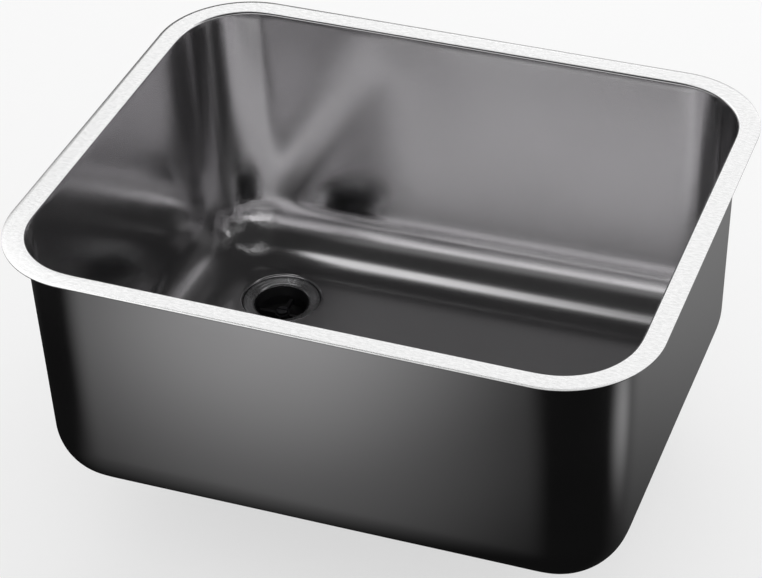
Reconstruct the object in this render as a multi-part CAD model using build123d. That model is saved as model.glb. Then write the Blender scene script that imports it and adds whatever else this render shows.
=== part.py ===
from build123d import *
import os
from math import radians, sqrt, tan

# Undermount kitchen sink: one pressed stainless bowl with a screw-together waste.
#
# Millimetres. The origin is the centre of the flange's flat top. +X runs along
# the long side, +Y to the back and +Z up, so the bowl hangs below z = 0 and the
# waste sits in the back left corner of its base.

# ---- sheet and flange ----
SHEET = 1.0                  # thickness of the pressed sheet
FLANGE_LENGTH = 540.0        # along X, edge to edge
FLANGE_WIDTH = 443.0         # along Y, edge to edge
FLANGE_LAND = 17.5           # from the flange's edge in to the wall's outer skin
FLANGE_CORNER_R = 80.0
RIM_BEND_R = 2.5             # flange to wall, on the side that shows
RIM_RELIEF = 1.0             # the same bend's flat on the hidden side

# ---- bowl ----
WALL_CORNER_R = 62.0         # outer skin, at the flange
DRAFT = 1.2                  # degrees that each wall leans in
DEPTH = 239.0                # flange top to the outer skin of the base, at the centre
BASE_R = 50.0                # wall to base, outer skin
RISE_X = 0.0175              # the base climbs to the right ...
RISE_Y = -0.0247             # ... and to the front, so that it falls to the waste

# ---- well that the waste sits in, pressed into the base ----
WASTE_X = -155.0
WASTE_Y = 109.0
WELL_DEPTH = 9.0             # base to the well's floor
WELL_FLOOR_R = 34.9          # inner skin, at the floor
WELL_SLOPE = 10.0            # degrees that the well's wall opens upwards
WELL_RIM = 1.8               # flat across the bend at the top of the well
WELL_FOOT = 1.2              # and across the bend at its floor, both on the wet side
BEND_SHIFT = 0.6 * SHEET     # what the sheet's thickness adds to or takes from them outside
HOLE_R = 26.0                # the punched hole

# ---- waste, upper half ----
UPPER_SEAL = 1.5             # thickness when pressed
UPPER_SEAL_R = 33.5
TRIM_SHEET = 0.8
TRIM_EDGE_R = 34.3           # outside of the trim's turned-down edge
TRIM_EDGE_FOOT = -4.3
TRIM_RIM = (33.0, -3.3)      # underside of its slope, at the rim ...
TRIM_DISH = (27.6, -5.3)     # ... and where it meets the throat
TRIM_LIP_R = 25.4
TRIM_LIP = -6.1
SLEEVE_R = 25.4              # passes through the punched hole
SEAT_TOP_R = 24.6
SEAT_FOOT_R = 22.6
SLEEVE_END = -24.0
ARM = 3.0                    # thickness of each arm of a cross
GRID_ARM_TOP = -18.5
GRID_ARM_FOOT = -23.0
GRID_BOSS_R = 7.0
GRID_BOSS_TOP = -17.0

# ---- waste, lower half ----
LOWER_SEAL = 3.0
LOWER_SEAL_R = 36.5
BODY_FLANGE_R = 38.0
BODY_FLANGE = 3.0
CUP_BORE_R = 25.9
CUP_WALL = 2.7
CUP_FOOT = -27.0
OUTLET_R = 23.9              # outside of a G 1 1/2 thread
OUTLET_BORE_R = 20.3
OUTLET_TOP = -36.0
OUTLET_END = -70.0
OUTLET_CHAMFER = 1.0
BODY_BOSS_R = 6.5
BODY_BOSS_TOP = -28.0
BODY_BOSS_FOOT = -44.0
BODY_ARM_TOP = -35.0
BODY_ARM_FOOT = -43.0
GUSSETS = 8
GUSSET = 2.0

# ---- clamping screw and its insert ----
SCREW_R = 3.0                # M6
SCREW_HEAD_R = 5.5
SCREW_HEAD = 3.2
SCREW_END = -41.0
SCREW_PLAY = 0.3             # round the shank, in the grid
INSERT_R = 4.3
INSERT_LENGTH = 10.0

# ---- sound-deadening pads bonded under the base ----
PAD = 3.0
PAD_CORNER_R = 12.0
LARGE_PAD = (48.0, -2.0, 286.0, 268.0)       # centre x, centre y, length, width
SMALL_PAD = (-146.0, -50.0, 76.0, 172.0)

# ---- worked out from the above ----
BASE_NORMAL = Vector(-RISE_X, -RISE_Y, 1).normalized()
UPRIGHT_SHEET = SHEET * sqrt(1 + RISE_X**2 + RISE_Y**2)
WASTE_TOP = -DEPTH + UPRIGHT_SHEET + RISE_X * WASTE_X + RISE_Y * WASTE_Y
WASTE_AXIS = Pos(WASTE_X, WASTE_Y, WASTE_TOP)
WELL_UNDERSIDE = -WELL_DEPTH - SHEET
FLANGE_SEAT = -WELL_DEPTH + UPPER_SEAL       # underside of the grid's flange
BODY_TOP = WELL_UNDERSIDE - LOWER_SEAL


def base_plane(inset):
    """Plane of the base, moved up by inset from its outer skin."""
    centre = Vector(0, 0, -DEPTH) + BASE_NORMAL * inset
    return Plane(origin=centre, z_dir=BASE_NORMAL)


def ring(outer_r, inner_r, top, foot):
    """Flat ring on the waste's axis, between two heights below the base."""
    disc = Circle(outer_r) - Circle(inner_r)
    return Pos(0, 0, foot) * extrude(disc, amount=top - foot)


def turned(*points):
    """Solid turned about the waste's axis from a closed outline of (radius, height)."""
    outline = Polyline(*[(r, 0, z) for r, z in points], close=True)
    return revolve(make_face(outline), axis=Axis.Z, revolution_arc=360)


def cross(reach, top, foot):
    """Four arms that reach out from the waste's axis."""
    height = top - foot
    middle = Pos(0, 0, (top + foot) / 2)
    return middle * (Box(2 * reach, ARM, height) + Box(ARM, 2 * reach, height))


def well(inset):
    """Filled form of the well, its skin moved in by inset from the outer skin."""
    floor = WELL_UNDERSIDE + inset
    floor_r = WELL_FLOOR_R + SHEET - inset
    height = -floor + 2 * SHEET
    top_r = floor_r + height * tan(radians(WELL_SLOPE))
    return WASTE_AXIS * Pos(0, 0, floor + height / 2) * Cone(floor_r, top_r, height)


def edges_round_waste(form):
    """Closed edges that circle the waste's axis, the lowest first."""
    circling = []
    for edge in form.edges():
        middle = edge.center(CenterOf.BOUNDING_BOX)
        if abs(middle.X - WASTE_X) < 2 and abs(middle.Y - WASTE_Y) < 2:
            circling.append(edge)
    return sorted(circling, key=lambda edge: edge.center(CenterOf.BOUNDING_BOX).Z)


def tub(inset, well_rim, well_foot):
    """Filled form of the bowl, its skin moved in by inset from the outer skin."""
    length = FLANGE_LENGTH - 2 * (FLANGE_LAND + inset)
    width = FLANGE_WIDTH - 2 * (FLANGE_LAND + inset)
    outline = RectangleRounded(length, width, WALL_CORNER_R - inset)
    walls = extrude(outline, amount=1.2 * DEPTH, dir=(0, 0, -1), taper=DRAFT)
    form = split(walls, bisect_by=base_plane(inset), keep=Keep.TOP)
    base = form.faces().sort_by(Axis.Z)[0]
    form = fillet(base.edges(), BASE_R - inset)
    form = form + well(inset)
    form = chamfer(edges_round_waste(form)[-1], well_rim)
    return chamfer(edges_round_waste(form)[0], well_foot)


def make_bowl():
    """The one pressed piece: flange, walls, sloping base and well."""
    skin = tub(0, WELL_RIM - BEND_SHIFT, WELL_FOOT + BEND_SHIFT)
    hollow = tub(SHEET, WELL_RIM, WELL_FOOT)
    plate = RectangleRounded(FLANGE_LENGTH, FLANGE_WIDTH, FLANGE_CORNER_R)
    bowl = extrude(plate, amount=-SHEET) + skin - hollow
    top = bowl.faces().sort_by(Axis.Z)[-1]
    bowl = fillet(top.inner_wires()[0].edges(), RIM_BEND_R)
    underside = bowl.faces().filter_by(Axis.Z).sort_by(Axis.Z)[-2]
    bowl = chamfer(underside.inner_wires()[0].edges(), RIM_RELIEF)
    hole = Pos(0, 0, WELL_UNDERSIDE) * Cylinder(HOLE_R, 4 * SHEET)
    return bowl - WASTE_AXIS * hole


def make_waste_flange():
    """Dished trim ring: a turned-down edge, a slope and a lip into the throat."""
    rim_r, rim = TRIM_RIM
    dish_r, dish = TRIM_DISH
    trim = turned(
        (TRIM_EDGE_R - TRIM_SHEET, TRIM_EDGE_FOOT),
        (TRIM_EDGE_R, TRIM_EDGE_FOOT),
        (TRIM_EDGE_R, rim + 0.3),
        (rim_r + 0.4, rim + 1.0),
        (dish_r - 0.3, dish + 0.75),
        (TRIM_LIP_R, TRIM_LIP),
        (TRIM_LIP_R + 0.6, TRIM_LIP - 0.5),
        TRIM_DISH,
        TRIM_RIM,
        (TRIM_EDGE_R - TRIM_SHEET, rim - 0.2),
    )
    return WASTE_AXIS * trim


def make_waste_grid():
    """Upper half of the waste: flange under the trim, plug seat, sleeve and cross."""
    rim_r, rim = TRIM_RIM
    rebate_foot = TRIM_LIP - 0.7
    shell = turned(
        (SLEEVE_R, FLANGE_SEAT),
        (rim_r, FLANGE_SEAT),
        TRIM_RIM,
        TRIM_DISH,
        (TRIM_LIP_R + 1, rebate_foot),
        (SEAT_TOP_R, rebate_foot),
        (SEAT_FOOT_R, GRID_BOSS_TOP + 2),
        (SEAT_FOOT_R, SLEEVE_END),
        (SLEEVE_R, SLEEVE_END),
    )
    boss = ring(GRID_BOSS_R, SCREW_R + SCREW_PLAY, GRID_BOSS_TOP, SLEEVE_END)
    arms = cross(SEAT_FOOT_R + 0.5, GRID_ARM_TOP, GRID_ARM_FOOT)
    core = Pos(0, 0, GRID_ARM_TOP) * Cylinder(SCREW_R + SCREW_PLAY, 20)
    return WASTE_AXIS * (shell + arms + boss - core)


def make_waste_body():
    """Lower half: flange, cup round the sleeve, funnel, threaded outlet and gussets."""
    cup_r = CUP_BORE_R + CUP_WALL
    flange_foot = BODY_TOP - BODY_FLANGE
    shell = turned(
        (CUP_BORE_R, BODY_TOP),
        (BODY_FLANGE_R, BODY_TOP),
        (BODY_FLANGE_R, flange_foot),
        (cup_r, flange_foot),
        (cup_r, CUP_FOOT),
        (OUTLET_R, OUTLET_TOP),
        (OUTLET_R, OUTLET_END + OUTLET_CHAMFER),
        (OUTLET_R - OUTLET_CHAMFER, OUTLET_END),
        (OUTLET_BORE_R, OUTLET_END),
        (OUTLET_BORE_R, OUTLET_TOP + 2),
        (CUP_BORE_R, CUP_FOOT),
    )
    arms = cross(OUTLET_BORE_R + 1, BODY_ARM_TOP, BODY_ARM_FOOT)
    boss = Pos(0, 0, BODY_BOSS_FOOT) * extrude(Circle(BODY_BOSS_R), BODY_BOSS_TOP - BODY_BOSS_FOOT)
    body = shell + arms + boss
    body = body + gussets(cup_r, flange_foot)
    pocket = Pos(0, 0, BODY_BOSS_TOP - INSERT_LENGTH) * extrude(Circle(INSERT_R), 2 * INSERT_LENGTH)
    screw_way = Pos(0, 0, BODY_BOSS_FOOT - 1) * extrude(Circle(SCREW_R + SCREW_PLAY), 20)
    return WASTE_AXIS * (body - pocket - screw_way)


def gussets(cup_r, flange_foot):
    """Thin triangular ribs from the body's flange down to its cup."""
    rib_outline = Polyline(
        (cup_r - 1, 0, flange_foot + 0.5),
        (BODY_FLANGE_R - 1, 0, flange_foot + 0.5),
        (cup_r - 1, 0, CUP_FOOT + 2),
        close=True,
    )
    rib = extrude(make_face(rib_outline), amount=GUSSET / 2, both=True)
    turns = [Rot(0, 0, (n + 0.5) * 360 / GUSSETS) * rib for n in range(GUSSETS)]
    return Compound(turns)


def make_insert():
    """Brass insert moulded into the lower boss, threaded for the screw."""
    top = BODY_BOSS_TOP
    return WASTE_AXIS * ring(INSERT_R, SCREW_R, top, top - INSERT_LENGTH)


def make_screw():
    """Pan-head screw that draws the two halves of the waste together."""
    head_top = GRID_BOSS_TOP + SCREW_HEAD
    head = Pos(0, 0, GRID_BOSS_TOP) * extrude(Circle(SCREW_HEAD_R), SCREW_HEAD)
    head = chamfer(head.faces().sort_by(Axis.Z)[-1].edges(), 0.8)
    slot = Pos(0, 0, head_top) * Box(2 * SCREW_HEAD_R, 1.4, 2.4)
    shank = Pos(0, 0, SCREW_END) * extrude(Circle(SCREW_R), GRID_BOSS_TOP - SCREW_END)
    return WASTE_AXIS * (head - slot + shank)


def make_pad(centre_x, centre_y, length, width):
    """Sheet bonded under the sloping base."""
    middle_z = -DEPTH + RISE_X * centre_x + RISE_Y * centre_y
    seat = Plane(origin=(centre_x, centre_y, middle_z), x_dir=(1, 0, RISE_X), z_dir=BASE_NORMAL)
    return extrude(seat * RectangleRounded(length, width, PAD_CORNER_R), amount=-PAD)


def main():
    """Build every piece and write each to its own file."""
    upper_seal = ring(UPPER_SEAL_R, SLEEVE_R + 1.2, FLANGE_SEAT, -WELL_DEPTH)
    lower_seal = ring(LOWER_SEAL_R, CUP_BORE_R + 0.7, WELL_UNDERSIDE, BODY_TOP)
    pieces = {
        "bowl": make_bowl(),
        "damping_pad_large": make_pad(*LARGE_PAD),
        "damping_pad_small": make_pad(*SMALL_PAD),
        "waste_flange": make_waste_flange(),
        "waste_grid": make_waste_grid(),
        "upper_seal": WASTE_AXIS * upper_seal,
        "lower_seal": WASTE_AXIS * lower_seal,
        "waste_body": make_waste_body(),
        "threaded_insert": make_insert(),
        "centre_screw": make_screw(),
    }
    os.makedirs("parts", exist_ok=True)
    for name, piece in pieces.items():
        export_step(piece, f"parts/{name}.step")


if __name__ == "__main__":
    main()
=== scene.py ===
import bpy
import math
import numpy as np
from mathutils import Matrix, Vector


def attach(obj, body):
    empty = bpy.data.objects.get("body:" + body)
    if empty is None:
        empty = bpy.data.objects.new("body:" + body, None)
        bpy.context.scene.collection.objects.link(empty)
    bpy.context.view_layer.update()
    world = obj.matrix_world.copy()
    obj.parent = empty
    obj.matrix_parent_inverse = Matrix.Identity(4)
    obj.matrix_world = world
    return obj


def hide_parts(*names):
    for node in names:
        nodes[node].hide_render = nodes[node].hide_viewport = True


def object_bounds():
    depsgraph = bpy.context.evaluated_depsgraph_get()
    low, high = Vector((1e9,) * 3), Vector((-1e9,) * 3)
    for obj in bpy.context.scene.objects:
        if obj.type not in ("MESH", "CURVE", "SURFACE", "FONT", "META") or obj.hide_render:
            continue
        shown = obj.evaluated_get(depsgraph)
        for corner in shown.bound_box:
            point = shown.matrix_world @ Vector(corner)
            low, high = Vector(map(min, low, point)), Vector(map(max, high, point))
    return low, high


# Undermount kitchen sink: its looks, and the studio round it.
#
# Metres, in the solids' frame: the origin is the centre of the flange's flat top,
# +X runs along the long side, +Y to the back and +Z up. Measures of the pieces
# that are built here are in millimetres, and become metres when they are built.

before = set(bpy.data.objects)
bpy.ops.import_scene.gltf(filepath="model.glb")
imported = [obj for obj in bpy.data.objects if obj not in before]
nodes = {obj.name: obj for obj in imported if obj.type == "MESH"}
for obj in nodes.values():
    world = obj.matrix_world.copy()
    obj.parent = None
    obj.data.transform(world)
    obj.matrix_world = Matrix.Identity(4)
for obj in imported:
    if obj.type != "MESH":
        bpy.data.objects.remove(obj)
cad_low, cad_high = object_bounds()
MM = 0.001

# ---- the bowl, as its solid has it ----
SHEET = 1.0
FLANGE_LENGTH, FLANGE_WIDTH, FLANGE_CORNER_R = 540.0, 443.0, 80.0
FLANGE_LAND = 17.5
RIM_BEND_R = 2.5
WALL_CORNER_R = 62.0
DRAFT = math.tan(math.radians(1.2))
DEPTH = 239.0
BASE_R = 50.0
RISE = np.array((0.0175, -0.0247))    # how the base climbs along X and along Y
UPRIGHT_SHEET = SHEET * math.sqrt(1 + RISE @ RISE)
WASTE = np.array((-155.0, 109.0))     # the waste's axis
WASTE_TOP = -DEPTH + UPRIGHT_SHEET + RISE @ WASTE
WELL_DEPTH, WELL_FLOOR_R = 9.0, 34.9
WELL_SLOPE = math.tan(math.radians(10.0))
HOLE_R = 26.0

# ---- the bowl, beyond its solid ----
CORNER_EASE = 24.0                    # run over which the sheet takes up the corner's radius
WELL_RIM_R, WELL_FOOT_R = 2.5, 1.5    # true bends, where the solid has flats
EDGE_ROUNDING, HOLE_ROUNDING = 0.22, 0.15
WAVE_HEIGHT = 0.05
WAVE_START, WAVE_RUN = 6.0, 40.0      # depth where the waves begin, and the run to their full height
WASTE_CLEAR, WASTE_RUN = 46.0, 30.0   # the same, outwards from the waste's axis
CORNER_STEPS, LONG_STEPS, SHORT_STEPS = 44, 60, 48
ROW_STEPS = {"land": 5, "rim": 7, "wall": 30, "bend": 26, "base": 32, "well": 7}


def mesh_object(name, points, faces, smooth_below=35.0):
    """A mesh piece from points in metres, smooth except across sharp edges."""
    mesh = bpy.data.meshes.new(name)
    mesh.from_pydata([tuple(p) for p in points], [], faces)
    mesh.validate()
    mesh.update()
    mesh.shade_smooth()
    mesh.set_sharp_from_angle(angle=math.radians(smooth_below))
    piece = bpy.data.objects.new(name, mesh)
    bpy.context.scene.collection.objects.link(piece)
    return piece


def closed_grid(rows, count):
    """Faces of a grid that closes on itself both ways."""
    faces = []
    for r in range(rows):
        below = ((r + 1) % rows) * count
        here = r * count
        for c in range(count):
            after = (c + 1) % count
            faces.append((here + c, here + after, below + after, below + c))
    return faces


# ---- bowl ----
def eased_corner(radius, ease, steps):
    """A quarter turn from +X to +Y whose curvature builds up and dies away over a short run."""
    slices = 4000
    length = radius * math.pi / 2 + ease
    run = np.linspace(0.0, length, slices + 1)
    middle = (run[1:] + run[:-1]) / 2
    curvature = np.minimum(1.0, np.minimum(middle, length - middle) / ease) / radius
    angle = np.concatenate(((0.0,), np.cumsum(curvature) * length / slices))
    heading = (angle[1:] + angle[:-1]) / 2
    across = np.concatenate(((0.0,), np.cumsum(np.sin(heading)))) * length / slices
    along = np.concatenate(((0.0,), np.cumsum(np.cos(heading)))) * length / slices
    picked = np.linspace(0, slices, steps + 1).astype(int)
    span = along[-1]
    points = np.column_stack((span - across[picked], along[picked]))
    normals = np.column_stack((np.cos(angle[picked]), np.sin(angle[picked])))
    return span, points, normals


def quarter_turns(vector, turns):
    """The plan vector turned a whole number of quarter turns."""
    for _ in range(turns):
        vector = np.array((-vector[1], vector[0]))
    return vector


def stations(corner_steps, long_steps, short_steps):
    """Matching points of the wall's and the flange's outlines, with the outward normal."""
    half_l, half_w = FLANGE_LENGTH / 2, FLANGE_WIDTH / 2
    wall_l, wall_w = half_l - FLANGE_LAND, half_w - FLANGE_LAND
    span, bend, bend_normal = eased_corner(WALL_CORNER_R, CORNER_EASE, corner_steps)
    wall_middle = np.array((wall_l - span, wall_w - span))
    edge_middle = np.array((half_l - FLANGE_CORNER_R, half_w - FLANGE_CORNER_R))
    signs = np.array(((1, 1), (-1, 1), (-1, -1), (1, -1)))
    wall, edge, normal = [], [], []
    for corner in range(4):
        for step in range(corner_steps + 1):
            n = quarter_turns(bend_normal[step], corner)
            wall.append(signs[corner] * wall_middle + quarter_turns(bend[step], corner))
            edge.append(signs[corner] * edge_middle + FLANGE_CORNER_R * n)
            normal.append(n)
        steps = long_steps if corner % 2 == 0 else short_steps
        after = signs[(corner + 1) % 4]
        to_wall = after * wall_middle + span * n
        to_edge = after * edge_middle + FLANGE_CORNER_R * n
        from_wall, from_edge = wall[-1], edge[-1]
        for step in range(1, steps):
            part = step / steps
            wall.append(from_wall + part * (to_wall - from_wall))
            edge.append(from_edge + part * (to_edge - from_edge))
            normal.append(n)
    return np.array(wall), np.array(edge), np.array(normal)


def arc(centre_a, centre_b, radius, start, end, steps):
    """Points round a centre in two coordinates, each of which may be an array."""
    rows = []
    for step in range(steps + 1):
        angle = start + (end - start) * step / steps
        rows.append((centre_a + radius * np.cos(angle), centre_b + radius * np.sin(angle)))
    return rows


def skin_rows(wall, edge, normal, inset):
    """Rows of one skin of the sheet, from the flange's edge to the punched hole.

    The inset is how far the skin lies inside the outer one. The wet skin's is the sheet's thickness.
    """
    count = len(wall)
    wet = inset > 0
    plane = 0.0 if wet else -SHEET
    rim_r = RIM_BEND_R if wet else RIM_BEND_R - SHEET
    base_r = BASE_R - inset
    well_rim_r = WELL_RIM_R if wet else WELL_RIM_R - SHEET
    well_foot_r = WELL_FOOT_R if wet else WELL_FOOT_R + SHEET
    slant = math.sqrt(1 + DRAFT**2)
    rows = []

    def put(u, z):
        """Adds a row that lies u inside the wall's outline, at height z."""
        plan = wall - normal * np.reshape(u * np.ones(count), (count, 1))
        rows.append(np.column_stack((plan, z * np.ones(count))))

    # rounded edge of the flange, then its land
    inward = -normal * EDGE_ROUNDING
    into_sheet = -EDGE_ROUNDING if wet else EDGE_ROUNDING
    for along, across in ((0.0, 1.0), (0.3, 0.3)):
        rows.append(np.column_stack((edge + inward * along, np.full(count, plane + into_sheet * across))))
    rim_z = -RIM_BEND_R
    rim_u = inset - rim_r * slant - DRAFT * rim_z
    land_end = wall - normal * rim_u
    land_start = edge + inward
    for step in range(ROW_STEPS["land"]):
        part = step / ROW_STEPS["land"]
        plan = land_start + part * (land_end - land_start)
        rows.append(np.column_stack((plan, np.full(count, plane))))
    # bend from flange to wall
    for u, z in arc(rim_u, rim_z, rim_r, math.pi / 2, math.atan(DRAFT), ROW_STEPS["rim"]):
        put(u, z)
    # wall; the base climbs by gain for each millimetre inwards
    gain = -(normal @ RISE)
    foot = -DEPTH + inset * UPRIGHT_SHEET + wall @ RISE
    tilt = np.sqrt(1 + gain**2)
    bend_z = (foot + gain * (inset + base_r * slant) + base_r * tilt) / (1 + gain * DRAFT)
    bend_u = inset + base_r * slant - DRAFT * bend_z
    start = math.atan(DRAFT) - math.pi
    end = np.arctan2(-np.ones(count), gain)
    top_z = rim_z + rim_r * math.sin(math.atan(DRAFT))
    low_z = bend_z + base_r * math.sin(start)
    for step in range(1, ROW_STEPS["wall"]):
        z = top_z + (low_z - top_z) * step / ROW_STEPS["wall"]
        put(inset - DRAFT * z, z)
    # bend from wall to base
    for u, z in arc(bend_u, bend_z, base_r, start, end, ROW_STEPS["bend"]):
        put(u, z)
    # base, in rows that crowd together towards the well
    base_end = rows[-1]
    away = base_end[:, :2] - WASTE
    reach = np.linalg.norm(away, axis=1)
    spoke = away / reach[:, None]
    climb = spoke @ RISE
    axis_z = WASTE_TOP if wet else WASTE_TOP - UPRIGHT_SHEET
    floor_z = WASTE_TOP - WELL_DEPTH - (0 if wet else SHEET)
    floor_r = WELL_FLOOR_R if wet else WELL_FLOOR_R + SHEET
    flare = math.sqrt(1 + WELL_SLOPE**2)
    steep = np.sqrt(1 + climb**2)
    start_z = axis_z + climb * (floor_r + well_rim_r * flare - WELL_SLOPE * floor_z)
    out_z = (start_z - well_rim_r * steep) / (1 - climb * WELL_SLOPE)
    out_r = floor_r + well_rim_r * flare + WELL_SLOPE * (out_z - floor_z)
    start = np.arctan2(np.ones(count), -climb)
    end = math.atan2(WELL_SLOPE, -1)
    rim_rows = arc(out_r, out_z, well_rim_r, start, end, ROW_STEPS["well"])
    first_r = rim_rows[0][0]
    for step in range(1, ROW_STEPS["base"]):
        part = step / ROW_STEPS["base"]
        part = part * (1.6 - 0.6 * part)
        r = reach + part * (first_r - reach)
        plan = WASTE + spoke * r[:, None]
        rows.append(np.column_stack((plan, axis_z + climb * r)))

    def round_waste(r, z):
        """Adds a row at radius r round the waste's axis, at height z."""
        plan = WASTE + spoke * np.reshape(r * np.ones(count), (count, 1))
        rows.append(np.column_stack((plan, z * np.ones(count))))

    # well: bend at its rim, bend at its foot, floor and the hole's edge
    for r, z in rim_rows:
        round_waste(r, z)
    in_z = floor_z + well_foot_r
    in_r = floor_r + WELL_SLOPE * well_foot_r - well_foot_r * flare
    foot_start = math.atan2(-WELL_SLOPE, 1)
    for r, z in arc(in_r, in_z, well_foot_r, foot_start, -math.pi / 2, ROW_STEPS["well"]):
        round_waste(r, z)
    for part in (0.35, 0.7):
        round_waste(in_r + part * (HOLE_R - in_r), floor_z)
    round_waste(HOLE_R + HOLE_ROUNDING, floor_z)
    round_waste(HOLE_R, floor_z - HOLE_ROUNDING if wet else floor_z + HOLE_ROUNDING)
    return np.array(rows)


def pressing_waves(points):
    """Height of the faint waves, 130 to 270 mm long, that drawing leaves in the sheet."""
    x, y, z = points[..., 0], points[..., 1], points[..., 2]
    waves = (
        np.sin(x / 31.0 + 0.7 * np.sin(z / 37.0) + 0.4) * np.cos(y / 43.0 + 1.1)
        + 0.8 * np.sin(y / 27.0 + 0.9 * np.sin(x / 53.0) + 2.0) * np.cos(z / 35.0)
        + 0.6 * np.cos(z / 21.0 + x / 71.0 + y / 59.0)
    )
    below = np.clip((-z - WAVE_START) / WAVE_RUN, 0, 1)
    return WAVE_HEIGHT * waves * below * below * (3 - 2 * below)


def build_bowl():
    """The pressed sheet with its true bends, in place of the bowl's plainer solid."""
    wall, edge, normal = stations(CORNER_STEPS, LONG_STEPS, SHORT_STEPS)
    wet = skin_rows(wall, edge, normal, SHEET)
    dry = skin_rows(wall, edge, normal, 0.0)
    step = wet - dry
    length = np.linalg.norm(step, axis=2, keepdims=True)
    inward = step / np.maximum(length, 1e-6)
    reach = np.linalg.norm(wet[..., :2] - WASTE, axis=2, keepdims=True)
    free = np.clip((reach - WASTE_CLEAR) / WASTE_RUN, 0, 1)
    shift = inward * (pressing_waves(wet)[..., None] * free)
    rows = np.concatenate((wet + shift, (dry + shift)[::-1]))
    return mesh_object("bowl_pressing", rows.reshape(-1, 3) * MM, closed_grid(len(rows), len(wall)))


bowl = build_bowl()
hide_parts("bowl")
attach(bowl, "root")


# ---- waste: radii from its axis, and heights from the base's wet side on that axis ----
BODY_FLANGE_R, BODY_TOP, BODY_FLANGE_FOOT = 38.0, -13.0, -16.0
CUP_R, CUP_BORE_R, CUP_FOOT = 28.6, 25.9, -27.0
OUTLET_R, OUTLET_BORE_R, OUTLET_TOP, OUTLET_END = 23.9, 20.3, -36.0, -70.0
OUTLET_CHAMFER, BORE_CHAMFER = 1.0, 0.4
THREAD_PITCH, THREAD_DEPTH = 2.309, 1.1
THREAD_TOP, THREAD_FOOT = -38.0, -68.5
THREAD_STEPS = 9                      # rows in each turn of the thread
BOSS_R, BOSS_TOP, BOSS_FOOT = 6.5, -28.0, -44.0
INSERT_R, INSERT_FOOT = 4.3, -38.0
SCREW_WAY_R = 3.3
ARM, ARM_TOP, ARM_FOOT = 3.0, -35.0, -43.0
GUSSETS, GUSSET = 8, 2.0


def waste_points(radius, angle, height):
    """Points in metres from radii, angles and heights about the waste's axis."""
    x = WASTE[0] + radius * np.cos(angle)
    y = WASTE[1] + radius * np.sin(angle)
    return np.stack((x, y, WASTE_TOP + height), axis=-1) * MM


def rounded_outline(corners, steps=4):
    """A closed outline from (radius, height, run), each corner rounded over its run to both sides."""
    outline = []
    for place, (r, z, run) in enumerate(corners):
        here = np.array((r, z))
        before = np.array(corners[place - 1][:2]) - here
        after = np.array(corners[(place + 1) % len(corners)][:2]) - here
        if run == 0:
            outline.append(here)
            continue
        start = here + before / np.linalg.norm(before) * run
        end = here + after / np.linalg.norm(after) * run
        for step in range(steps + 1):
            part = step / steps
            outline.append((1 - part) ** 2 * start + 2 * part * (1 - part) * here + part**2 * end)
    return np.array(outline)


def turned_mesh(outline, count):
    """Points and faces of a ring turned about the waste's axis from an anticlockwise outline."""
    angle = np.arange(count) * math.tau / count
    radius = np.repeat(outline[:, :1], count, axis=1)
    height = np.repeat(outline[:, 1:], count, axis=1)
    points = waste_points(radius, angle[None, :], height)
    return points.reshape(-1, 3), closed_grid(len(outline), count)


def join_meshes(name, meshes):
    """One piece from several closed meshes."""
    points, faces = [], []
    for more_points, more_faces in meshes:
        start = len(points)
        points.extend(more_points)
        faces.extend(tuple(start + corner for corner in face) for face in more_faces)
    return mesh_object(name, points, faces, smooth_below=40.0)


def prism(outline, thickness, turn):
    """A rib of even thickness from a convex (radius, height) outline, turned about the axis."""
    out = np.array((math.cos(turn), math.sin(turn)))
    side = np.array((-out[1], out[0]))
    points = []
    for half in (-thickness / 2, thickness / 2):
        for r, z in outline:
            x, y = WASTE + r * out + half * side
            points.append(np.array((x, y, WASTE_TOP + z)) * MM)
    count = len(outline)
    faces = [tuple(range(count)), tuple(range(count, 2 * count))[::-1]]
    for here in range(count):
        after = (here + 1) % count
        faces.append((after, here, count + here, count + after))
    return points, faces


def build_trim():
    """Spun trim ring: a rolled edge that spreads a little, a slope and a lip in the throat."""
    outline = rounded_outline((
        # rolled edge
        (34.2, -4.3, 0.0),
        (35.0, -4.3, 0.15),
        (35.5, -3.2, 0.4),
        (34.2, -2.3, 0.5),
        # the slope, in two turned steps
        (32.6, -2.6, 0.3),
        (32.2, -3.05, 0.3),
        (29.6, -3.75, 0.4),
        (29.2, -4.1, 0.2),
        # lip in the throat
        (27.2, -4.6, 0.8),
        (25.3, -6.0, 0.3),
        (25.7, -6.6, 0.0),
        # underside
        (27.6, -5.3, 0.8),
        (33.0, -3.3, 0.4),
    ))
    return join_meshes("waste_trim", [turned_mesh(outline, 128)])


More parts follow.
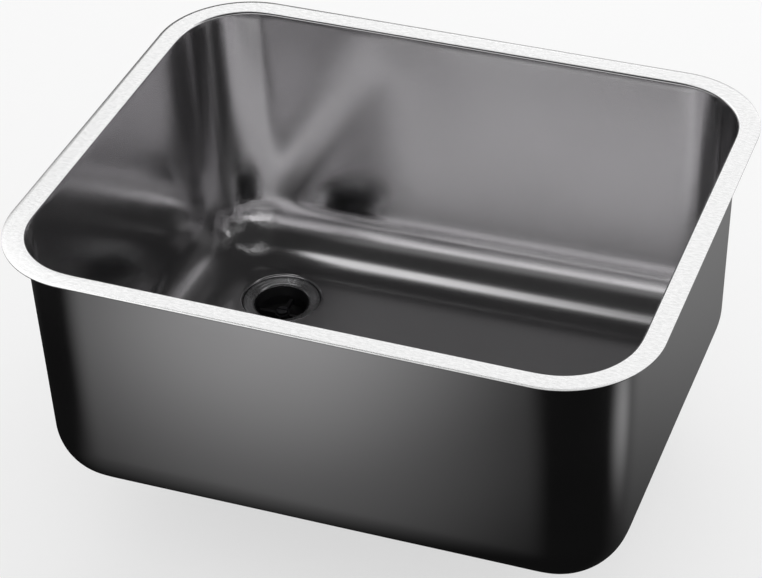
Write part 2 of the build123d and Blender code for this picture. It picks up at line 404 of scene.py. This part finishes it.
def threaded_shell():
    """The lower body's turned shell, with a helical thread cut into its outlet."""
    plain = rounded_outline((
        (CUP_BORE_R, CUP_FOOT, 0.6),
        (CUP_BORE_R, BODY_TOP, 0.4),
        (BODY_FLANGE_R, BODY_TOP, 0.5),
        (BODY_FLANGE_R, BODY_FLANGE_FOOT, 0.5),
        (CUP_R, BODY_FLANGE_FOOT, 0.8),
        (CUP_R, CUP_FOOT, 1.5),
        (OUTLET_R, OUTLET_TOP, 1.2),
        (OUTLET_R, OUTLET_END + OUTLET_CHAMFER, 0.0),
        (OUTLET_R - OUTLET_CHAMFER, OUTLET_END, 0.0),
        (OUTLET_BORE_R + BORE_CHAMFER, OUTLET_END, 0.0),
        (OUTLET_BORE_R, OUTLET_END + BORE_CHAMFER, 0.0),
        (OUTLET_BORE_R, OUTLET_TOP + 2.0, 0.6),
    ))
    rows = int((THREAD_TOP - THREAD_FOOT) / THREAD_PITCH * THREAD_STEPS)
    ladder = np.linspace(THREAD_TOP, THREAD_FOOT, rows)
    stretch = np.column_stack((np.full(rows, OUTLET_R), ladder))
    first = int(np.argmax(plain[:, 1] < THREAD_TOP))
    outline = np.concatenate((plain[:first], stretch, plain[first:]))
    count = 128
    angle = np.arange(count) * math.tau / count
    radius = np.repeat(outline[:, :1], count, axis=1)
    height = np.repeat(outline[:, 1:], count, axis=1)
    phase = ladder[:, None] / THREAD_PITCH + angle[None, :] / math.tau
    groove = 0.5 - 0.5 * np.cos(math.tau * phase)
    from_end = np.minimum(THREAD_TOP - ladder, ladder - THREAD_FOOT)
    run_out = np.clip(from_end / (1.5 * THREAD_PITCH), 0, 1)
    radius[first:first + rows] -= THREAD_DEPTH * groove * run_out[:, None]
    points = waste_points(radius, angle[None, :], height)
    # this outline runs clockwise, so its faces are turned over to point outwards
    faces = [face[::-1] for face in closed_grid(len(outline), count)]
    return points.reshape(-1, 3), faces


def build_lower_body():
    """Lower half of the waste with its thread, gussets, boss and the arms that hold the boss."""
    meshes = [threaded_shell()]
    boss = rounded_outline((
        (BOSS_R, BOSS_FOOT, 0.5),
        (BOSS_R, BOSS_TOP, 0.5),
        (INSERT_R, BOSS_TOP, 0.3),
        (INSERT_R, INSERT_FOOT, 0.0),
        (SCREW_WAY_R, INSERT_FOOT, 0.0),
        (SCREW_WAY_R, BOSS_FOOT, 0.0),
    ))
    meshes.append(turned_mesh(boss, 64))
    arm_start, arm_end = BOSS_R - 0.3, OUTLET_BORE_R + 1.0
    arm = (
        (arm_start, ARM_FOOT),
        (arm_end, ARM_FOOT),
        (arm_end, ARM_TOP - 0.6),
        (arm_end - 0.5, ARM_TOP),
        (arm_start, ARM_TOP),
    )
    for turn in range(4):
        meshes.append(prism(arm, ARM, turn * math.pi / 2))
    root, tip = CUP_R - 1.0, BODY_FLANGE_R - 1.0
    gusset = (
        (root, BODY_FLANGE_FOOT + 0.5),
        (root, CUP_FOOT + 2.0),
        (root + 0.8, CUP_FOOT + 2.6),
        (tip - 0.6, BODY_FLANGE_FOOT - 0.8),
        (tip, BODY_FLANGE_FOOT + 0.5),
    )
    for turn in range(GUSSETS):
        meshes.append(prism(gusset, GUSSET, (turn + 0.5) * math.tau / GUSSETS))
    return join_meshes("waste_lower_body", meshes)


trim = build_trim()
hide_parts("waste_flange")
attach(trim, "root")

lower_body = build_lower_body()
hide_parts("waste_body")
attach(lower_body, "root")


# ---- materials ----
def new_material(name):
    """A new node material, its node tree and its Principled shader."""
    material = bpy.data.materials.new(name)
    material.use_nodes = True
    tree = material.node_tree
    return material, tree, tree.nodes["Principled BSDF"]


def add(tree, kind, **values):
    """A shader node with its properties or inputs set by name."""
    node = tree.nodes.new(kind)
    for key, value in values.items():
        if hasattr(node, key):
            setattr(node, key, value)
        else:
            node.inputs[key.replace("_", " ")].default_value = value
    return node


def fade(tree, value, start, end):
    """Rises smoothly from 0 at start to 1 at end, or falls where start is the larger."""
    span = add(tree, "ShaderNodeMapRange", interpolation_type="SMOOTHSTEP")
    span.inputs["From Min"].default_value = start
    span.inputs["From Max"].default_value = end
    tree.links.new(value, span.inputs["Value"])
    return span.outputs["Result"]


def combine(tree, operation, first, second):
    """One maths node on two values, each a socket or a number."""
    node = add(tree, "ShaderNodeMath", operation=operation)
    for socket, value in zip(node.inputs, (first, second)):
        if isinstance(value, (int, float)):
            socket.default_value = value
        else:
            tree.links.new(value, socket)
    return node.outputs[0]


def brushed_steel(name, colour, low, high, bump, scale):
    """Metal with fine scratches, in its roughness and in its surface, long where the scale is small."""
    material, tree, shader = new_material(name)
    shader.inputs["Base Color"].default_value = (*colour, 1)
    shader.inputs["Metallic"].default_value = 1.0
    place = add(tree, "ShaderNodeTexCoord")
    stretch = add(tree, "ShaderNodeMapping")
    stretch.inputs["Scale"].default_value = scale
    scratches = add(tree, "ShaderNodeTexNoise", Scale=900.0, Detail=6.0, Roughness=0.7)
    blotches = add(tree, "ShaderNodeTexNoise", Scale=14.0, Detail=3.0)
    mixed = add(tree, "ShaderNodeMix", data_type="FLOAT")
    mixed.inputs["Factor"].default_value = 0.45
    span = add(tree, "ShaderNodeMapRange")
    span.inputs["From Min"].default_value = 0.3
    span.inputs["From Max"].default_value = 0.7
    span.inputs["To Min"].default_value = low
    span.inputs["To Max"].default_value = high
    rise = add(tree, "ShaderNodeBump")
    rise.inputs["Strength"].default_value = bump
    rise.inputs["Distance"].default_value = 0.00005
    join = tree.links.new
    join(place.outputs["Object"], stretch.inputs["Vector"])
    join(stretch.outputs["Vector"], scratches.inputs["Vector"])
    join(place.outputs["Object"], blotches.inputs["Vector"])
    join(scratches.outputs["Fac"], mixed.inputs["A"])
    join(blotches.outputs["Fac"], mixed.inputs["B"])
    join(mixed.outputs["Result"], span.inputs["Value"])
    join(span.outputs["Result"], shader.inputs["Roughness"])
    join(scratches.outputs["Fac"], rise.inputs["Height"])
    join(rise.outputs["Normal"], shader.inputs["Normal"])
    return material


def drawn_corners(material):
    """Adds the fine crumpling that deep drawing leaves in the four corners of the base."""
    corner = (0.222, 0.172, 0.222)    # metres, with the signs left off, so that one stands for all four
    edge, core = 0.044, 0.018         # distance where the crumpling begins, and where it is full
    tree = material.node_tree
    place = add(tree, "ShaderNodeTexCoord")
    fold = add(tree, "ShaderNodeVectorMath", operation="ABSOLUTE")
    reach = add(tree, "ShaderNodeVectorMath", operation="DISTANCE")
    reach.inputs[1].default_value = corner
    crumple = add(tree, "ShaderNodeTexNoise", Scale=110.0, Detail=2.5, Roughness=0.6)
    rise = add(tree, "ShaderNodeBump")
    rise.inputs["Strength"].default_value = 1.0
    rise.inputs["Distance"].default_value = 0.0005
    tree.links.new(place.outputs["Object"], fold.inputs[0])
    tree.links.new(fold.outputs["Vector"], reach.inputs[0])
    tree.links.new(place.outputs["Object"], crumple.inputs["Vector"])
    near = fade(tree, reach.outputs["Value"], edge, core)
    tree.links.new(combine(tree, "MULTIPLY", near, crumple.outputs["Fac"]), rise.inputs["Height"])
    for scratch in tree.nodes:
        if scratch.type == "BUMP" and scratch != rise:
            tree.links.new(rise.outputs["Normal"], scratch.inputs["Normal"])


def ground_flange(material):
    """Gives the flange's flat top the paler, ground finish that the photo shows."""
    below, above = -0.0006, -0.0002   # metres; the finish is on what lies higher than these
    tree = material.node_tree
    shader = tree.nodes["Principled BSDF"]
    place = add(tree, "ShaderNodeTexCoord")
    axes = add(tree, "ShaderNodeSeparateXYZ")
    top = add(tree, "ShaderNodeMapRange")
    top.inputs["From Min"].default_value = below
    top.inputs["From Max"].default_value = above
    shade = add(tree, "ShaderNodeMix", data_type="RGBA")
    shade.inputs["A"].default_value = shader.inputs["Base Color"].default_value
    stretch = add(tree, "ShaderNodeMapping")
    stretch.inputs["Scale"].default_value = (0.22, 0.7, 1.0)
    grain = add(tree, "ShaderNodeTexNoise", Scale=800.0, Detail=3.0, Roughness=0.8)
    ground = add(tree, "ShaderNodeMapRange")
    ground.inputs["From Min"].default_value = 0.36
    ground.inputs["From Max"].default_value = 0.62
    ground.inputs["To Min"].default_value = 0.71
    ground.inputs["To Max"].default_value = 0.82
    tree.links.new(place.outputs["Object"], stretch.inputs["Vector"])
    tree.links.new(stretch.outputs["Vector"], grain.inputs["Vector"])
    tree.links.new(grain.outputs["Fac"], ground.inputs["Value"])
    tree.links.new(ground.outputs["Result"], shade.inputs["B"])
    tree.links.new(place.outputs["Object"], axes.inputs[0])
    tree.links.new(axes.outputs["Z"], top.inputs["Value"])
    tree.links.new(top.outputs["Result"], shade.inputs["Factor"])
    tree.links.new(shade.outputs["Result"], shader.inputs["Base Color"])


def plastic(name, colour, low, high):
    """Moulded plastic, rubber or damping sheet, with a fine grain and a slightly uneven tone."""
    material, tree, shader = new_material(name)
    place = add(tree, "ShaderNodeTexCoord")
    grain = add(tree, "ShaderNodeTexNoise", Scale=1500.0, Detail=3.0)
    tone = add(tree, "ShaderNodeTexNoise", Scale=60.0, Detail=2.0)
    span = add(tree, "ShaderNodeMapRange")
    span.inputs["To Min"].default_value = low
    span.inputs["To Max"].default_value = high
    shade = add(tree, "ShaderNodeMix", data_type="RGBA")
    shade.inputs["A"].default_value = (*[c * 0.8 for c in colour], 1)
    shade.inputs["B"].default_value = (*[c * 1.3 for c in colour], 1)
    rise = add(tree, "ShaderNodeBump")
    rise.inputs["Strength"].default_value = 0.25
    rise.inputs["Distance"].default_value = 0.00006
    join = tree.links.new
    join(place.outputs["Object"], grain.inputs["Vector"])
    join(place.outputs["Object"], tone.inputs["Vector"])
    join(tone.outputs["Fac"], span.inputs["Value"])
    join(tone.outputs["Fac"], shade.inputs["Factor"])
    join(shade.outputs["Result"], shader.inputs["Base Color"])
    join(span.outputs["Result"], shader.inputs["Roughness"])
    join(grain.outputs["Fac"], rise.inputs["Height"])
    join(rise.outputs["Normal"], shader.inputs["Normal"])
    return material


def dress(piece, material):
    """Gives a piece this one material."""
    piece.data.materials.clear()
    piece.data.materials.append(material)


satin = brushed_steel("satin_stainless", (0.652, 0.645, 0.654), 0.14, 0.21, 0.2, (0.06, 1.0, 1.0))
ground_flange(satin)
drawn_corners(satin)
polished = brushed_steel("polished_stainless", (0.62, 0.62, 0.63), 0.24, 0.32, 0.1, (1, 1, 1))
black_plastic = plastic("black_moulding", (0.012, 0.012, 0.013), 0.3, 0.5)
rubber = plastic("seal_rubber", (0.03, 0.03, 0.03), 0.6, 0.8)
pad = plastic("damping_sheet", (0.14, 0.14, 0.15), 0.7, 0.9)
# The screw's steel is darkened to 0.14, far below bare steel: painted shade of the deep throat it sits
# in.
screw_steel = brushed_steel("screw_steel", (0.14, 0.14, 0.15), 0.3, 0.42, 0.1, (1, 1, 1))
brass = brushed_steel("brass", (0.62, 0.45, 0.18), 0.2, 0.3, 0.1, (1, 1, 1))

dress(bowl, satin)
dress(trim, polished)
dress(lower_body, black_plastic)
for name, material in (
    ("waste_grid", black_plastic),
    ("upper_seal", rubber),
    ("lower_seal", rubber),
    ("threaded_insert", brass),
    ("centre_screw", screw_steel),
    ("damping_pad_large", pad),
    ("damping_pad_small", pad),
):
    dress(nodes[name], material)

for name, width in (
    ("damping_pad_large", 0.5),
    ("damping_pad_small", 0.5),
    ("lower_seal", 0.5),
    ("waste_grid", 0.25),
    ("centre_screw", 0.2),
):
    rounding = nodes[name].modifiers.new("rounding", "BEVEL")
    rounding.width = width * MM
    rounding.segments = 2
    rounding.limit_method = "ANGLE"
    rounding.angle_limit = math.radians(40.0)


# ---- studio ----
def plane(name, centre, right, up, material):
    """A flat staged card from its centre and two vectors, each half a side long."""
    c, a, b = Vector(centre), Vector(right), Vector(up)
    card = mesh_object(name, [c - a - b, c + a - b, c + a + b, c - a + b], [(0, 1, 2, 3)])
    dress(card, material)
    return card


def shown_background(tree):
    """1 for the rays that show a background: from the camera, off metal and through glass."""
    ray = add(tree, "ShaderNodeLightPath")
    seen = combine(tree, "MAXIMUM", ray.outputs["Is Camera Ray"], ray.outputs["Is Glossy Ray"])
    return combine(tree, "MAXIMUM", seen, ray.outputs["Is Transmission Ray"])


def floor_paint():
    """Pale matt paint with a faint mottle, lifted towards white where it is the background."""
    material, tree, shader = new_material("floor_paint")
    shader.inputs["Roughness"].default_value = 0.9
    place = add(tree, "ShaderNodeTexCoord")
    mottle = add(tree, "ShaderNodeTexNoise", Scale=40.0, Detail=4.0)
    shade = add(tree, "ShaderNodeMix", data_type="RGBA")
    shade.inputs["A"].default_value = (0.92, 0.92, 0.92, 1)
    shade.inputs["B"].default_value = (0.94, 0.94, 0.94, 1)
    lift = add(tree, "ShaderNodeEmission", Strength=1.0)
    mixed = add(tree, "ShaderNodeMixShader")
    share = combine(tree, "MULTIPLY", shown_background(tree), 0.6)
    tree.links.new(place.outputs["Object"], mottle.inputs["Vector"])
    tree.links.new(mottle.outputs["Fac"], shade.inputs["Factor"])
    tree.links.new(shade.outputs["Result"], shader.inputs["Base Color"])
    tree.links.new(share, mixed.inputs[0])
    tree.links.new(shader.outputs["BSDF"], mixed.inputs[1])
    tree.links.new(lift.outputs["Emission"], mixed.inputs[2])
    tree.links.new(mixed.outputs["Shader"], tree.nodes["Material Output"].inputs["Surface"])
    return material


FLOOR_Z = cad_low.z - 0.0002          # metres, like all of the studio
FLOOR_HALF = 30
plane("floor", (0, 0, FLOOR_Z), (FLOOR_HALF, 0, 0), (0, FLOOR_HALF, 0), floor_paint())


def soft_box(name, centre, target, width, height, radiance):
    """A soft area lamp that shows the given radiance over its face."""
    lamp = bpy.data.lights.new(name, "AREA")
    lamp.shape = "RECTANGLE"
    lamp.size, lamp.size_y = width, height
    lamp.energy = radiance * math.pi * width * height
    lit = bpy.data.objects.new(name, lamp)
    lit.location = centre
    lit.rotation_euler = (Vector(target) - Vector(centre)).to_track_quat("-Z", "Y").to_euler()
    bpy.context.scene.collection.objects.link(lit)


soft_box("back_soft_box", (0.32, 2.28, 1.93), (0, 0, 0), 4.6, 1.7, 1.15)


def reflector(tree, tone):
    """Makes a material show the tone and nothing else."""
    light = add(tree, "ShaderNodeEmission")
    tree.links.new(tone, light.inputs["Strength"])
    tree.links.new(light.outputs["Emission"], tree.nodes["Material Output"].inputs["Surface"])


def only_in_metal(piece):
    """The camera and the matt surfaces pass this card by; only reflections show it."""
    piece.visible_camera = piece.visible_diffuse = piece.visible_shadow = False
    piece.visible_transmission = False


# Painted reflections: the dome glows in these tones, though it is no lamp, and only the metal shows it.
DARK_REFLECTION_GLOW = 0.038
DOME_R = 9.0
DOME_ROWS, DOME_COLUMNS = 12, 36
DOME_REACH = 95                       # degrees from straight up, so that it ends below the floor
PAINTED_REFLECTION_CARDS = (
    # degrees: azimuth from +Y towards +X, from and to; height, from and to; soft edge; then the tone
    (-200, 200, 80, 100, 4, 0.22),
    (-118, -96, -10, 60, 7, 0.03),
    (88, 246, -30, 21, 6, 0.65),
    (-210, -114, -30, 21, 6, 0.65),
    (-92, 70, 12, 68, 8, 0.98),
    (45, 88, 2, 34, 8, 1.2),
    (-68, -34, 28, 64, 8, 1.35),
    (-110, -42, 62, 76, 5, 1.05),
    (-42, 60, 65, 85, 8, 0.47),
    (150, 246, 8, 27, 6, 0.85),
    (-210, -140, 8, 27, 6, 0.85),
    (-45, -20, -10, 26, 6, 0.08),
    (158, 246, 27, 40, 5, 0.20),
    (-210, -124, 27, 40, 5, 0.20),
    (98, 124, 28, 40, 5, 0.16),
    (-36, 48, 26, 54, 2, 0.0),
)


def dome_mesh():
    """Points and faces of a dome over the sink, from its top down."""
    points = [(0, 0, DOME_R)]
    for row in range(1, DOME_ROWS + 1):
        lift = math.radians(90 - row * DOME_REACH / DOME_ROWS)
        ring_r, ring_z = DOME_R * math.cos(lift), DOME_R * math.sin(lift)
        for step in range(DOME_COLUMNS):
            turn = step * math.tau / DOME_COLUMNS
            points.append((ring_r * math.cos(turn), ring_r * math.sin(turn), ring_z))
    faces = [(0, 1 + step, 1 + (step + 1) % DOME_COLUMNS) for step in range(DOME_COLUMNS)]
    for row in range(DOME_ROWS - 1):
        here = 1 + row * DOME_COLUMNS
        below = here + DOME_COLUMNS
        for step in range(DOME_COLUMNS):
            after = (step + 1) % DOME_COLUMNS
            faces.append((here + step, below + step, below + after, here + after))
    return points, faces


def painted_reflection_dome():
    """Glowing dome round and over the sink, dark with lighter and darker cards on it: painted reflections
    that only the metal shows.
    """
    material, tree, _ = new_material("painted_reflection_dome")
    place = add(tree, "ShaderNodeTexCoord")
    unit = add(tree, "ShaderNodeVectorMath", operation="NORMALIZE")
    axes = add(tree, "ShaderNodeSeparateXYZ")
    tree.links.new(place.outputs["Object"], unit.inputs[0])
    tree.links.new(unit.outputs["Vector"], axes.inputs[0])
    azimuth = combine(tree, "ARCTAN2", axes.outputs["X"], axes.outputs["Y"])
    azimuth = combine(tree, "MULTIPLY", azimuth, math.degrees(1))
    height = combine(tree, "ARCSINE", axes.outputs["Z"], 0.0)
    height = combine(tree, "MULTIPLY", height, math.degrees(1))
    tone = DARK_REFLECTION_GLOW
    for left, right, foot, top, soft, card_tone in PAINTED_REFLECTION_CARDS:
        inside = fade(tree, azimuth, left - soft, left + soft)
        inside = combine(tree, "MULTIPLY", inside, fade(tree, azimuth, right + soft, right - soft))
        inside = combine(tree, "MULTIPLY", inside, fade(tree, height, foot - soft, foot + soft))
        inside = combine(tree, "MULTIPLY", inside, fade(tree, height, top + soft, top - soft))
        blend = add(tree, "ShaderNodeMix", data_type="FLOAT")
        tree.links.new(inside, blend.inputs["Factor"])
        if isinstance(tone, float):
            blend.inputs["A"].default_value = tone
        else:
            tree.links.new(tone, blend.inputs["A"])
        blend.inputs["B"].default_value = card_tone
        tone = blend.outputs["Result"]
    reflector(tree, tone)
    dome = mesh_object("painted_reflection_dome", *dome_mesh())
    dress(dome, material)
    only_in_metal(dome)


painted_reflection_dome()


# Painted reflections: the floor card glows dark, with lighter pools of painted light, and only the metal
# shows it.
FLOOR_REFLECTION_GLOW = 0.006
CARD_LIFT = 0.0004                    # metres, above the pale floor
CARD_HALF = 8.9
REFLECTED_LIGHT_POOLS = (
    # metres: x, y and radius; then the tone at the middle
    (-0.21, -0.62, 0.34, 0.43),
    (-0.09, -0.40, 0.31, 0.14),
    (0.42, 0.35, 0.55, 0.19),
    (0.52, -0.04, 0.15, 0.28),
    (0.90, 1.10, 1.20, 0.25),
    (-0.75, 0.80, 0.95, 0.22),
    # these pools of painted light show in the sides that the photo doesn't show
    (0.00, 1.45, 1.15, 0.60),
    (-1.85, 0.25, 1.28, 0.80),
    (-1.30, -1.00, 0.88, 0.50),
    (-1.03, -0.40, 0.42, 0.40),
    (1.55, -0.10, 1.00, 0.45),
    (0.10, -1.75, 1.00, 0.45),
)


def painted_floor_reflection():
    """Glowing card on the floor, dark with lighter pools of painted light: painted reflections that only
    the metal shows.
    """
    material, tree, _ = new_material("painted_floor_reflection")
    place = add(tree, "ShaderNodeTexCoord")
    tone = FLOOR_REFLECTION_GLOW
    for x, y, radius, pool_tone in REFLECTED_LIGHT_POOLS:
        reach = add(tree, "ShaderNodeVectorMath", operation="DISTANCE")
        reach.inputs[1].default_value = (x, y, FLOOR_Z)
        tree.links.new(place.outputs["Object"], reach.inputs[0])
        pool = combine(tree, "MULTIPLY", fade(tree, reach.outputs["Value"], radius, 0.0), pool_tone)
        tone = combine(tree, "ADD", pool, tone)
    reflector(tree, tone)
    centre = (0, 0, FLOOR_Z + CARD_LIFT)
    card = plane("painted_floor_reflection", centre, (CARD_HALF, 0, 0), (0, CARD_HALF, 0), material)
    only_in_metal(card)


painted_floor_reflection()

# even light on the floor and the matt pieces, under a white background
AMBIENT, BACKGROUND = 0.75, 1.0
world = bpy.data.worlds.new("studio")
bpy.context.scene.world = world
world.use_nodes = True
tree = world.node_tree
span = add(tree, "ShaderNodeMapRange")
span.inputs["To Min"].default_value = AMBIENT
span.inputs["To Max"].default_value = BACKGROUND
tree.links.new(shown_background(tree), span.inputs["Value"])
tree.links.new(span.outputs["Result"], tree.nodes["Background"].inputs["Strength"])
tree.nodes["Background"].inputs["Color"].default_value = (1, 1, 1, 1)

# ---- camera ----
PHOTO_WIDTH_PX, FOCAL_PX = 762, 2440.34
SENSOR_MM = 36.0
CAMERA_ROLL = math.radians(-2.2645)
camera_data = bpy.data.cameras.new("camera")
camera = bpy.data.objects.new("camera", camera_data)
bpy.context.scene.collection.objects.link(camera)
camera_data.sensor_width = SENSOR_MM
camera_data.lens = FOCAL_PX / PHOTO_WIDTH_PX * SENSOR_MM
camera_data.clip_start, camera_data.clip_end = 0.05, 100.0
# place, direction and roll were solved from the flange's outlines in the photo
camera.location = (0.59927, -1.51435, 1.12721)
look = Vector((-0.29729, 0.73699, -0.60701))
turn = look.to_track_quat("-Z", "Y").to_matrix().to_4x4()
camera.rotation_euler = (turn @ Matrix.Rotation(CAMERA_ROLL, 4, "Z")).to_euler()
bpy.context.scene.camera = camera
bpy.context.scene.view_settings.view_transform = "Standard"
